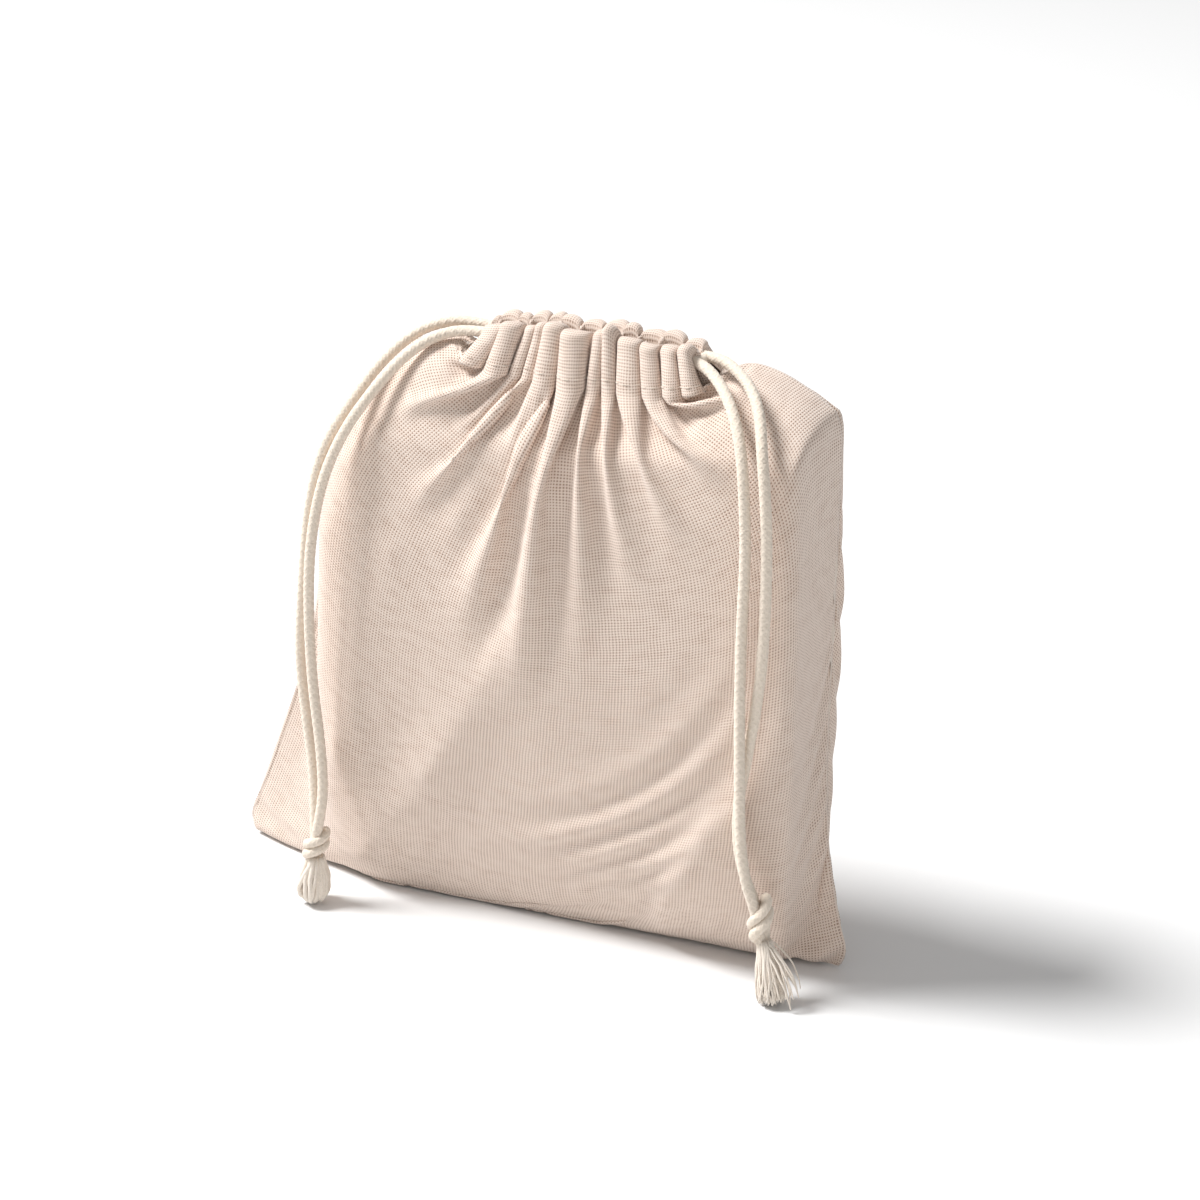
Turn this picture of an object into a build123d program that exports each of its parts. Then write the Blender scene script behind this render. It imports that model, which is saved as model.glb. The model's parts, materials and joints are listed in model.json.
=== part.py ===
"""Drawstring pouch of plain-weave cotton, standing as it does when full.

Millimetres. X runs across the pouch, -Y is its front, +Z is up, and the origin is on the
surface it stands on, under the middle of the cloth's box.
"""
from build123d import *
import math
import os

# ---- cloth body -------------------------------------------------------------
WALL = 1.0                # cloth of the body, with its nap
CORNER_RADIUS = 4.0       # vertical edges where the cloth turns round the contents
TIP_RADIUS = 1.0          # the side seams, where front and back meet
# Each level: height, left seam, left edge, right edge, right seam, half depth.
LEVELS = [
    (0.0, -93.0, -55.0, 76.0, 94.0, 8.0),
    (4.0, -100.4, -61.0, 80.0, 98.8, 10.5),
    (16.0, -95.0, -66.0, 84.0, 95.0, 15.5),
    (36.0, -86.5, -67.5, 85.5, 91.0, 17.6),
    (62.0, -77.0, -67.5, 85.5, 88.6, 18.0),
    (112.0, -70.0, -64.0, 85.5, 87.6, 18.0),
    (134.0, -64.5, -56.0, 85.0, 87.2, 17.0),
    (150.0, -52.0, -43.0, 83.5, 86.8, 15.5),
    (157.0, -40.0, -31.0, 80.0, 86.0, 13.5),
    (160.8, -14.0, -7.0, 45.0, 52.0, 9.7),
]
BASE_THICKNESS = 1.0
SEAM_THICKNESS = 1.4      # both layers of the overlocked allowance, with its thread
SEAM_WIDTH = 6.0
SEAM_BITE = 0.4           # how far a side allowance runs into the seam that holds it
SIDE_SEAM_BOTTOM = 5.0
SIDE_SEAM_TOP = 156.5
BOTTOM_SEAM_LENGTH = 150.0
BOTTOM_SEAM_BITE = 0.2
BARTACK = (2.4, 3.6, 2.0)
BARTACK_EDGE = 0.4        # rounding of the bar, and how far it stands past the neck
BARTACK_DROP = 0.6        # its middle below the top of the body

# ---- drawn-up casings -------------------------------------------------------
NECK_LEFT = -12.0
NECK_RIGHT = 50.0
MOUTH_GAP = 5.0           # clear width between the two casings
CASING_WIDTH = 7.2        # front to back, through the gathers
CASING_HEIGHT = 15.0
CASING_BOTTOM = 161.5
CASING_WALL = 0.8
CASING_Y = MOUTH_GAP / 2 + CASING_WIDTH / 2
STITCH_LENGTH = 1.8
STITCH_PITCH = 2.6
STITCH_RADIUS = 0.3
STITCH_HEIGHT = 167.0     # lower row of stitching that closes the tunnel

# ---- drawcords --------------------------------------------------------------
CORD = 3.0                # cord diameter
CHANNEL_Y = 7.1           # cord axis in each casing, near its outer wall
LEFT_CORD_Z = 172.4       # the left cord runs above the right one
RIGHT_CORD_Z = 168.4
STUB_INNER = 18.0         # length of each tail's stub inside the casing
STUB_OUTER = 3.9          # and outside it, past the other cord's turn
TURN_OUT = 2.2            # where a cord turns back, past the casing's end
TURN_RADIUS = 3.5
TAIL_GAP = 0.2            # between a stub and the tail that swings from it

LEFT_OUTER = [
    (-16.4, 7.1, 172.4), (-24.5, 6.2, 173.8), (-34.0, 1.0, 171.0), (-40.6, -7.0, 163.4),
    (-46.0, -15.4, 152.8), (-52.6, -21.8, 140.4), (-57.2, -24.0, 123.0), (-60.4, -24.0, 99.5),
    (-62.6, -24.4, 76.5), (-60.8, -25.0, 59.0), (-58.2, -26.6, 42.5), (-57.4, -28.2, 31.5),
    (-57.8, -28.8, 23.8),
]
LEFT_INNER = [
    (-16.4, -7.1, 172.4), (-24.6, -7.7, 173.0), (-32.4, -11.6, 168.0), (-38.4, -17.4, 157.4),
    (-45.4, -21.6, 144.4), (-52.2, -23.4, 129.6), (-56.4, -27.6, 111.0), (-56.8, -27.6, 90.0),
    (-55.0, -28.0, 68.6), (-52.8, -28.8, 50.4), (-52.2, -30.2, 36.6), (-53.6, -31.4, 28.0),
    (-54.4, -31.6, 22.6),
]
RIGHT_OUTER = [
    (54.4, 7.1, 168.4), (62.2, 6.0, 169.6), (69.4, -1.2, 169.9), (73.8, -11.4, 167.0),
    (76.4, -19.6, 160.4), (78.2, -23.2, 148.8), (79.0, -22.2, 131.0), (79.2, -22.0, 109.0),
    (78.0, -21.6, 90.0), (75.0, -21.0, 71.4), (72.4, -21.0, 57.0), (72.4, -21.8, 44.6),
    (75.2, -22.6, 35.0), (79.0, -22.6, 28.6),
]
RIGHT_INNER = [
    (54.4, -7.1, 168.4), (61.8, -8.6, 169.0), (68.0, -14.2, 165.8), (71.6, -20.4, 158.6),
    (73.2, -23.6, 147.6), (74.0, -22.6, 130.0), (73.2, -22.9, 108.0), (73.4, -23.8, 86.0),
    (74.4, -25.2, 64.0), (75.4, -26.0, 47.4), (78.0, -26.2, 36.4), (81.6, -26.0, 29.0),
]
LEFT_KNOT = (-56.2, -30.2, 18.6)
RIGHT_KNOT = (81.2, -24.2, 23.6)
KNOT_HALF = (5.2, 4.6, 5.4)
LEFT_TASSEL_END = (-56.8, -31.2, 0.6)
RIGHT_TASSEL_END = (86.6, -26.6, 0.6)
TASSEL_RADII = (2.4, 4.4, 3.6)
TASSEL_FULL = (0.4, 0.75) # the share of its length over which a tassel is full
TASSEL_START = 0.8        # where it starts inside the knot, as a share of the half height


# ---- helpers ----------------------------------------------------------------
def ring(level, wall):
    """One level of the body: six sides, drawn in by a wall thickness, with rounded corners."""
    height, left_tip, left_edge, right_edge, right_tip, half = level
    left_slope = math.atan2(half, left_edge - left_tip)
    right_slope = math.atan2(half, right_tip - right_edge)
    depth = half - wall
    left = left_tip + wall / math.sin(left_slope)
    right = right_tip - wall / math.sin(right_slope)
    left_in = left + depth / math.tan(left_slope)
    right_in = right - depth / math.tan(right_slope)
    points = [
        (left, 0), (left_in, -depth), (right_in, -depth),
        (right, 0), (right_in, depth), (left_in, depth),
    ]
    corner = CORNER_RADIUS - wall
    tip = TIP_RADIUS - wall * 0.3
    radii = [tip, corner, corner, tip, corner, corner]
    outline = FilletPolyline(*points, radius=radii, close=True)
    return Plane.XY.offset(height) * make_face(outline)


def tip_x(height, side, wall):
    """Where the inside of a side seam lies at a height."""
    for low, high in zip(LEVELS, LEVELS[1:]):
        if low[0] <= height <= high[0]:
            share = (height - low[0]) / (high[0] - low[0])
            tips = []
            for level in (low, high):
                tip, edge = (level[1], level[2]) if side < 0 else (level[4], level[3])
                slope = math.atan2(level[5], abs(edge - tip))
                tips.append(tip - side * wall / math.sin(slope))
            return tips[0] + share * (tips[1] - tips[0])
    raise ValueError("height is outside the body")


def cord_tube(points, radii):
    """A round cord along straight runs joined by tangent arcs."""
    path = FilletPolyline(*points, radius=radii)
    section = Plane(origin=path @ 0, z_dir=path % 0) * Circle(CORD / 2)
    return sweep(section, path=path), path


def route_radii(points):
    """Each bend as large as its two runs allow."""
    radii = []
    for before, here, after in zip(points, points[1:], points[2:]):
        run_in = Vector(*here) - Vector(*before)
        run_out = Vector(*after) - Vector(*here)
        turn = math.radians(run_in.get_angle(run_out))
        radii.append(0.45 * min(run_in.length, run_out.length) / math.tan(turn / 2))
    return radii


def save(shape, node):
    """Write one named piece."""
    export_step(shape, f"parts/{node}.step")
    print(f"{node}: {shape.volume:.1f} mm3")


# ---- pieces -----------------------------------------------------------------
def body_panels():
    """Front and back cloth: an open-necked shell, parted along the side and bottom seams."""
    outside = loft([ring(level, 0.0) for level in LEVELS], ruled=True)
    inner_levels = [(BASE_THICKNESS, *LEVELS[0][1:])] + LEVELS[1:]
    inside = loft([ring(level, WALL) for level in inner_levels], ruled=True)
    shell = outside - inside
    reach = 300.0
    front_half = Pos(0, -reach / 2, 0) * Box(reach, reach, 2 * reach)
    return shell & front_half, shell - front_half


def side_seam(side):
    """Overlocked allowance inside a side seam: a strip that follows the seam up to the slit."""
    between = [level[0] for level in LEVELS if SIDE_SEAM_BOTTOM < level[0] < SIDE_SEAM_TOP]
    heights = [SIDE_SEAM_BOTTOM] + between + [SIDE_SEAM_TOP]
    outer = [(tip_x(h, side, WALL) + side * SEAM_BITE, h) for h in heights]
    inner = [(tip_x(h, side, WALL) - side * SEAM_WIDTH, h) for h in reversed(heights)]
    outline = Plane.XZ * make_face(Polyline(*outer, *inner, close=True))
    return extrude(outline, amount=SEAM_THICKNESS / 2, both=True)


def bottom_seam():
    """Overlocked allowance that stands up inside the bottom seam."""
    middle = BASE_THICKNESS - BOTTOM_SEAM_BITE + SEAM_WIDTH / 2
    return Pos(0, 0, middle) * Box(BOTTOM_SEAM_LENGTH, SEAM_THICKNESS, SEAM_WIDTH)


def slit_bartack(side):
    """Dense bar of stitches where a side seam stops below the cord slit."""
    end = NECK_RIGHT if side > 0 else NECK_LEFT
    bar = Box(*BARTACK)
    place = Pos(end + side * BARTACK_EDGE, 0, LEVELS[-1][0] - BARTACK_DROP)
    return place * fillet(bar.edges(), BARTACK_EDGE)


def casing(face):
    """Drawn-up tunnel of turned-down cloth, open at both ends. Face is -1 front, +1 back."""
    middle = CASING_BOTTOM + CASING_HEIGHT / 2
    plane = Plane(
        origin=(NECK_LEFT, face * CASING_Y, middle), x_dir=(0, 1, 0), z_dir=(1, 0, 0)
    )
    length = NECK_RIGHT - NECK_LEFT
    outer = plane * SlotOverall(CASING_HEIGHT, CASING_WIDTH, rotation=90)
    hollow = plane * SlotOverall(
        CASING_HEIGHT - 2 * CASING_WALL, CASING_WIDTH - 2 * CASING_WALL, rotation=90
    )
    return extrude(outer - hollow, amount=length)


def casing_stitching(face):
    """Row of thread stitches along the lower edge of a casing."""
    count = int((NECK_RIGHT - NECK_LEFT - STITCH_PITCH) // STITCH_PITCH)
    surface = face * (CASING_Y + CASING_WIDTH / 2)
    start = (NECK_LEFT + NECK_RIGHT - (count - 1) * STITCH_PITCH) / 2
    stitch = Rotation(0, 90, 0) * Cylinder(STITCH_RADIUS, STITCH_LENGTH)
    return Compound(children=[
        Pos(start + i * STITCH_PITCH, surface, STITCH_HEIGHT) * stitch for i in range(count)
    ])


def cord_run(side):
    """Hidden length of one cord: along both casings, and round the far end of the neck."""
    height = RIGHT_CORD_Z if side > 0 else LEFT_CORD_Z
    start = NECK_RIGHT - STUB_INNER if side > 0 else NECK_LEFT + STUB_INNER
    turn = NECK_LEFT - TURN_OUT if side > 0 else NECK_RIGHT + TURN_OUT
    points = [
        (start, -CHANNEL_Y, height), (turn, -CHANNEL_Y, height),
        (turn, CHANNEL_Y, height), (start, CHANNEL_Y, height),
    ]
    return cord_tube(points, [TURN_RADIUS, TURN_RADIUS])[0]


def cord_ends(side):
    """The two ends of one cord where they leave the casings side by side."""
    height = RIGHT_CORD_Z if side > 0 else LEFT_CORD_Z
    edge = NECK_RIGHT if side > 0 else NECK_LEFT
    inner = edge - side * (STUB_INNER - TAIL_GAP)
    length = STUB_INNER - TAIL_GAP + STUB_OUTER
    end = Rotation(0, 90, 0) * Cylinder(CORD / 2, length)
    middle = inner + side * length / 2
    return Compound(children=[
        Pos(middle, face * CHANNEL_Y, height) * end for face in (-1, 1)
    ])


def knot(place):
    """Overhand knot in the doubled cord, as one rounded lump."""
    ball = Sphere(1.0)
    return Pos(*place) * scale(ball, by=KNOT_HALF)


def tassel(knot_place, end):
    """Frayed ends below a knot: narrow at the knot, full, then closing at the tip."""
    top = Vector(*knot_place) - Vector(0, 0, KNOT_HALF[2] * TASSEL_START)
    bottom = Vector(*end)
    down = bottom - top
    narrow, full, tip = TASSEL_RADII
    stations = [(0.0, narrow), (TASSEL_FULL[0], full), (TASSEL_FULL[1], full), (1.0, tip)]
    rings = [
        Pos(*(top + down * share)) * Circle(radius) for share, radius in stations
    ]
    return loft(rings, ruled=True)


def main():
    os.makedirs("parts", exist_ok=True)
    front, back = body_panels()
    save(front, "front_panel")
    save(back, "back_panel")
    save(bottom_seam(), "bottom_seam")
    for side, name in ((-1, "left"), (1, "right")):
        save(side_seam(side), f"{name}_side_seam")
        save(slit_bartack(side), f"{name}_slit_bartack")
        save(cord_run(side), f"{name}_cord_run")
        save(cord_ends(side), f"{name}_cord_ends")
    for face, name in ((-1, "front"), (1, "back")):
        save(casing(face), f"{name}_casing")
        save(casing_stitching(face), f"{name}_casing_stitching")
    tails = {
        "left_tail_outer": LEFT_OUTER, "left_tail_inner": LEFT_INNER,
        "right_tail_outer": RIGHT_OUTER, "right_tail_inner": RIGHT_INNER,
    }
    for node, points in tails.items():
        radii = route_radii(points)
        tube, path = cord_tube(points, radii)
        save(tube, node)
        expected = math.pi * CORD ** 2 / 4 * path.length
        print("  length", round(path.length, 1), "volume/expected", round(tube.volume / expected, 4))
        print("  radii", [round(r, 1) for r in radii])
    save(knot(LEFT_KNOT), "left_knot")
    save(knot(RIGHT_KNOT), "right_knot")
    save(tassel(LEFT_KNOT, LEFT_TASSEL_END), "left_tassel")
    save(tassel(RIGHT_KNOT, RIGHT_TASSEL_END), "right_tassel")


main()
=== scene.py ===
"""Drawstring knitting bag of open cotton plain weave, drawn shut, with two knotted cords.

Metres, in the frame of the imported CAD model: X across the bag, -Y its front, +Z up.
"""
import json
import math

import bpy
import numpy as np
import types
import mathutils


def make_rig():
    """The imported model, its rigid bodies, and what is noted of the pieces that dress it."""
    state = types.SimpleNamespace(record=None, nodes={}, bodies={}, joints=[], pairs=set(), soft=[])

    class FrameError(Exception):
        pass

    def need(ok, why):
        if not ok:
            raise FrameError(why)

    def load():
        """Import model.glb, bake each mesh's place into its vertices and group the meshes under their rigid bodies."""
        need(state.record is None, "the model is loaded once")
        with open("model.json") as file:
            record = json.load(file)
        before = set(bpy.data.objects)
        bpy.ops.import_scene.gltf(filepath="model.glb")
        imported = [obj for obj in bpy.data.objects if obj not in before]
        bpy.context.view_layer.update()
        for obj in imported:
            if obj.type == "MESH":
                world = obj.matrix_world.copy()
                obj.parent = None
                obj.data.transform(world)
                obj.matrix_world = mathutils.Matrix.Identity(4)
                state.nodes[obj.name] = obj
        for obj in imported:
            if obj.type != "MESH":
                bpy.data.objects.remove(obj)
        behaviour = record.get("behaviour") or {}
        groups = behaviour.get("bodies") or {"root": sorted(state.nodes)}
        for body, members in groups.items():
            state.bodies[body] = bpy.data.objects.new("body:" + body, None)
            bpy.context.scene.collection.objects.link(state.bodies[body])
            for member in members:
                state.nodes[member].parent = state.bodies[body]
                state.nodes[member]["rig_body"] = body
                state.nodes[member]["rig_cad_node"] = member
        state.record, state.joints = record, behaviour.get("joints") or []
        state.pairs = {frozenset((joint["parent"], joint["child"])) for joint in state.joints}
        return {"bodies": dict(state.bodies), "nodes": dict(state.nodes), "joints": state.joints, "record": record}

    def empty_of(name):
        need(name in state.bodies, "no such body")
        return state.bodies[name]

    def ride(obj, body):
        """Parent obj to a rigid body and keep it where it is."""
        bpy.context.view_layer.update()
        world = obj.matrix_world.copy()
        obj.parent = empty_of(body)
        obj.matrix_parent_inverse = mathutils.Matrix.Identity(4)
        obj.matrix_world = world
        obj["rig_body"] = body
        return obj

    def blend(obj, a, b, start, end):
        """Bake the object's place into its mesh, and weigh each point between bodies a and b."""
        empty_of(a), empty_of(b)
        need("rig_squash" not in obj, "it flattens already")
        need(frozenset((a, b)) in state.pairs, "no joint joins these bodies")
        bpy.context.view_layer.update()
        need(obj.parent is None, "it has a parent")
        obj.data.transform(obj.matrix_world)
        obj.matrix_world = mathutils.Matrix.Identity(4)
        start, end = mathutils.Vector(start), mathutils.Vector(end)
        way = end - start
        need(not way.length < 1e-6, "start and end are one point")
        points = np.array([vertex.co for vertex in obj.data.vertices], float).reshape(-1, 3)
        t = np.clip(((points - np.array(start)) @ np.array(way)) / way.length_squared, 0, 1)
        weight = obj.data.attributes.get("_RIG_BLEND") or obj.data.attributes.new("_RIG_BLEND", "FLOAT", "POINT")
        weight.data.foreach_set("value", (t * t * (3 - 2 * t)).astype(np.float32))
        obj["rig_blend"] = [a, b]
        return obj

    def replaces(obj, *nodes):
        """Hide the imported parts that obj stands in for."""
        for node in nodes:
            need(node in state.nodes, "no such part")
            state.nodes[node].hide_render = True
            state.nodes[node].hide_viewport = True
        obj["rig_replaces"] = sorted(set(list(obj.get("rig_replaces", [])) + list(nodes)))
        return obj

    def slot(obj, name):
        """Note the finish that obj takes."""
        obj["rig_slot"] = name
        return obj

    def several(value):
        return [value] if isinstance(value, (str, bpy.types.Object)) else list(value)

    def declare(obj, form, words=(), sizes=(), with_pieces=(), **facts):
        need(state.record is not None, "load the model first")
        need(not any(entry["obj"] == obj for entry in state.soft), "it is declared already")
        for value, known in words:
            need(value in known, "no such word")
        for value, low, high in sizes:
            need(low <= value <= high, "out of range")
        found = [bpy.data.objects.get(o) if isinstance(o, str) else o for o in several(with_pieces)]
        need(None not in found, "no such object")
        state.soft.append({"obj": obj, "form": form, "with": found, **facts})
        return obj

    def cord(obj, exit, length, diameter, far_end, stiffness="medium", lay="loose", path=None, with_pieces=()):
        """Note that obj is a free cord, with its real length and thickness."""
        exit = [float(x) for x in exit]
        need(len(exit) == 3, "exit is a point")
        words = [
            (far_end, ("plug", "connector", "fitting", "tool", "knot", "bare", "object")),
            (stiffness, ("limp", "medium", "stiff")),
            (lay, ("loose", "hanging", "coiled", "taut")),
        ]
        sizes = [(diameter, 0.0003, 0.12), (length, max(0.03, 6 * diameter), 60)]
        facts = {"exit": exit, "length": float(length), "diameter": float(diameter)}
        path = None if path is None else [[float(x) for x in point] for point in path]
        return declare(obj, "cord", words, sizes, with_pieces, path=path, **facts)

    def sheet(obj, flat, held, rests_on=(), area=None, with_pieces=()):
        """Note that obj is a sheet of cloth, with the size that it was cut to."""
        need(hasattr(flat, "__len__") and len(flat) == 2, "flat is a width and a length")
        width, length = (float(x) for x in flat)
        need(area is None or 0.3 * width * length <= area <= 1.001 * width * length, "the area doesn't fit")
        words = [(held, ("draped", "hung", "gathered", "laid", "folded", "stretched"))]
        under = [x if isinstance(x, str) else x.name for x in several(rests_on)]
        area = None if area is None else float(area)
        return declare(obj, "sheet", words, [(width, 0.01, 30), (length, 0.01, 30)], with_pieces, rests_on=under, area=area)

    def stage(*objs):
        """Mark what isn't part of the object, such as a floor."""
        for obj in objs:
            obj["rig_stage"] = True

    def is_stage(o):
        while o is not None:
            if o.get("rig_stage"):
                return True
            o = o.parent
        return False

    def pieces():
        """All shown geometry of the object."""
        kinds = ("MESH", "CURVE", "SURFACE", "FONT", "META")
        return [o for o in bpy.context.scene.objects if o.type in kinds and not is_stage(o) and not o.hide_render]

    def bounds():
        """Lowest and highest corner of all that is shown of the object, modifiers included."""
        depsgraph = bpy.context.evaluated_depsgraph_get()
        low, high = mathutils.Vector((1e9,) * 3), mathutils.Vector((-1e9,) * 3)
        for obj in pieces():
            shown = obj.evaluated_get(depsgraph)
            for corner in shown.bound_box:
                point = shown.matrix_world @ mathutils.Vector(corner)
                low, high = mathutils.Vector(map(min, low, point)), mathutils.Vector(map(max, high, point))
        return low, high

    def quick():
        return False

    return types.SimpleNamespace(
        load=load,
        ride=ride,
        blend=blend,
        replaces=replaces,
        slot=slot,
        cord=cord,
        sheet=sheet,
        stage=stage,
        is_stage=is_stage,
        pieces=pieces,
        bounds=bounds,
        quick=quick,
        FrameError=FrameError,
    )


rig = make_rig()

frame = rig.load()
cad_box = [list(map(float, corner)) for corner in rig.bounds()]

MM = 0.001

# ---- the cloth's cut and its drape ------------------------------------------
SPACING = 2.0 * MM            # coarse net of the drape; halved for the finish
COLUMNS = 100                 # across one panel: 200 mm of cloth
BODY_ROWS = 98                # bottom seam to casing: 196 mm
OUTER_ROWS = 7                # casing, outer layer: 14 mm
FOLD_ROWS = 3                 # over the top
INNER_ROWS = 6                # casing, inner layer: 12 mm down to its stitches
CASING_ROWS = OUTER_ROWS + FOLD_ROWS + INNER_ROWS
NECK_LEFT, NECK_RIGHT = -12.0 * MM, 50.0 * MM
CASING_LOW, CASING_TOP = 161.8 * MM, 176.0 * MM
PLEATS = 12
VALLEY_Y = 4.4 * MM           # valleys of the casing, against the cord
GATHER_REACH = 14 * MM        # how far below the casing the cloth is still bunched
FOLD_REACH = 80 * MM          # how far below the casing its folds start out
MIDDLE_TAKE_UP = 0.90         # the middle of each panel against its seams
CLOTH = 0.5 * MM
FLAT_WIDTH, FLAT_HEIGHT = 200 * MM, 226 * MM
FLOOR_CLEARANCE = 0.5 * MM
WARP_PITCH, WEFT_PITCH = 0.92 * MM, 0.83 * MM
LIP_START, LIP_END = 158 * MM, 168 * MM
SHEAR = 0.15
GRIP = 0.35                   # share of a sliding step that the contents hold back

# Contents: height, left edge, right edge.
CONTENTS = np.array([
    (0.0, -58.0, 78.0), (4.0, -63.0, 81.0), (16.0, -66.0, 84.0), (36.0, -67.0, 85.0),
    (62.0, -66.5, 85.4), (112.0, -63.5, 85.4), (134.0, -56.0, 85.2), (152.0, -42.0, 84.8),
]) * MM
CONTENTS_TOP = 152 * MM
FULL_DEPTH = 17.6 * MM
SLACK, SLACK_TOP = 8 * MM, 120 * MM   # how far the cloth may stand off, up to a height
DOME_LEFT, DOME_RIGHT = -69 * MM, 85.2 * MM
# Half depth of the contents where they stand: place across, half depth.
BASE = np.array([
    (-90.0, 1.4), (-77.0, 4.0), (-60.0, 8.0), (-41.0, 10.0), (23.0, 5.5), (58.0, 2.5), (76.0, 1.6),
    (96.0, 1.0),
]) * MM
EDGE_SOFTNESS = np.array([(-60.0, 13.0), (0.0, 9.0), (60.0, 5.0), (80.0, 1.6)]) * MM
# Soft filling above: place across, foot, crest, how far back the crest lies.
CREST = np.array([
    (-66.0, 112.0, 128.0, 2.0), (-58.0, 118.0, 145.0, 2.0), (-48.0, 124.0, 156.0, 2.0),
    (-38.0, 130.0, 163.0, 1.5), (-28.0, 134.0, 169.0, 1.0), (-20.0, 136.0, 169.0, 0.0),
    (-10.0, 138.0, 160.0, 0.0), (2.0, 140.0, 157.0, 0.0), (38.0, 142.0, 157.0, 0.0),
    (50.0, 144.0, 159.0, 1.0), (56.0, 146.0, 166.0, 6.0), (62.0, 147.0, 169.4, 9.0),
    (70.0, 149.0, 167.4, 10.5), (79.0, 150.0, 163.2, 10.5), (86.0, 150.0, 158.5, 11.0),
]) * MM
# Long soft ridges on the front: one end x and z, other end x and z, breadth, height.
FOLDS = np.array([
    (14.0, 136.0, 11.0, 103.0, 7.0, 3.0), (11.0, 103.0, -24.0, 44.0, 8.0, 5.4),
    (-24.0, 44.0, -48.0, 10.0, 8.0, 4.0), (-33.0, 112.0, -41.0, 84.0, 7.0, 3.4),
    (-41.0, 84.0, -52.0, 44.0, 7.0, 3.4), (64.0, 46.0, 46.0, 10.0, 5.0, 3.2),
    (-12.0, 124.0, -20.0, 84.0, 6.0, 2.4), (38.0, 132.0, 46.0, 84.0, 7.0, 2.0),
]) * MM
# Side seams, from the corner of the bag to the slit in the casing.
LEFT_SEAM = [
    (-95.5, 0.0, 0.6), (-99.6, 0.0, 4.0), (-94.0, 0.0, 16.0), (-86.0, 0.0, 36.0), (-76.5, 1.0, 62.0),
    (-72.0, 2.0, 80.0), (-70.5, 3.0, 100.0), (-68.0, 4.0, 118.0), (-64.5, 4.0, 134.0),
    (-58.5, 4.0, 147.0), (-50.0, 4.0, 157.0), (-40.0, 3.0, 164.5), (-28.0, 2.0, 169.6), (-17.0, 0.0, 167.8),
]
RIGHT_SEAM = [
    (95.5, -0.5, 0.6), (98.4, 0.0, 4.5), (95.0, 0.5, 14.0), (90.4, 2.0, 34.0), (88.0, 5.0, 62.0),
    (87.2, 8.0, 84.0), (87.0, 10.0, 112.0), (86.8, 11.0, 140.0), (86.6, 12.0, 155.0), (84.0, 11.5, 160.0),
    (77.0, 10.5, 165.2), (69.0, 10.5, 168.8), (61.0, 9.0, 170.8), (56.0, 4.5, 168.8), (53.0, 1.5, 166.0),
]

# ---- routes of the cord tails, from inside the casing to the knot -----------
LEFT_OUTER = [
    (-10.0, 2.7, 172.4), (-17.0, 2.9, 173.0), (-25.0, 2.4, 173.0), (-34.0, -2.0, 169.8),
    (-41.0, -9.0, 162.4), (-46.4, -16.4, 152.6), (-52.8, -22.2, 140.4), (-57.4, -24.0, 123.0),
    (-60.4, -24.0, 99.5), (-62.6, -24.4, 76.5), (-60.8, -25.0, 59.0), (-58.2, -26.6, 42.5),
    (-57.2, -28.2, 31.5), (-56.8, -29.4, 24.0), (-56.4, -30.2, 19.0),
]
LEFT_INNER = [
    (-10.0, -2.7, 172.4), (-17.0, -2.4, 172.4), (-24.6, -4.4, 171.0), (-32.0, -9.4, 166.4),
    (-38.6, -15.4, 158.0), (-46.0, -21.6, 146.0), (-52.4, -24.6, 131.0), (-56.0, -26.8, 111.0),
    (-57.2, -27.0, 90.0), (-56.6, -27.6, 70.0), (-54.0, -28.8, 51.4), (-52.8, -30.2, 37.0),
    (-54.0, -31.2, 28.0), (-55.6, -31.0, 22.0), (-56.6, -30.6, 17.6),
]
RIGHT_OUTER = [
    (48.5, 2.7, 172.4), (55.0, 1.0, 173.0), (61.0, -2.6, 172.2), (68.0, -8.0, 169.4),
    (73.6, -15.0, 164.6), (77.0, -21.6, 156.5), (79.0, -23.6, 146.0), (79.6, -23.0, 131.0),
    (79.4, -22.6, 109.0), (78.0, -22.0, 90.0), (75.0, -21.6, 71.4), (72.6, -21.6, 57.0),
    (72.8, -22.2, 44.6), (75.6, -23.0, 35.0), (79.0, -23.6, 28.6), (81.4, -24.2, 23.0),
]
RIGHT_INNER = [
    (48.5, -2.7, 172.4), (53.0, -4.6, 172.6), (59.5, -9.0, 170.0), (66.0, -15.4, 165.4),
    (70.8, -21.0, 158.0), (73.2, -24.0, 147.6), (74.0, -23.6, 130.0), (73.2, -23.6, 108.0),
    (73.4, -24.2, 86.0), (74.4, -25.4, 64.0), (75.2, -26.2, 47.4), (77.0, -26.4, 36.4),
    (79.4, -26.2, 29.6), (81.0, -25.4, 23.0),
]
CORD = 3.0 * MM
ALLOWANCE_START = 64          # finer row of the cloth where a side allowance starts
HIDDEN_Y = 2.7 * MM           # cord inside a casing, from the mid plane
CORD_Z = 172.4 * MM
RIGHT_CORD_DROP = 4 * MM      # the right cord's hidden run lies this much lower
STUB_LENGTH = 18 * MM         # the end of a cord that moves with it, inside the casing

# ---- view and light ---------------------------------------------------------
AZIMUTH, ELEVATION = math.radians(25.33), math.radians(22.51)
TARGET, DISTANCE = (0.02117, 0.0, 0.09854), 0.7294
SENSOR, LENS = 36.0, 78.68
KEY_PLACE, KEY_SIZE, KEY_POWER = (-2.0, -0.6, 3.2), 1.3, 195
FLOOR_REACH, FLOOR_SHADE, SKY = 4.0, 0.80, 0.44


# ---- small helpers ----------------------------------------------------------
def lerp(a, b, t):
    """a at t = 0 and b at t = 1."""
    return a + (b - a) * t


def ease(t):
    """0 to 1 with level ends."""
    t = np.clip(t, 0.0, 1.0)
    return t * t * (3 - 2 * t)


def length_of(v):
    """Length of each vector in the last axis, kept as a column."""
    return np.sqrt((v * v).sum(-1, keepdims=True))


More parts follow.
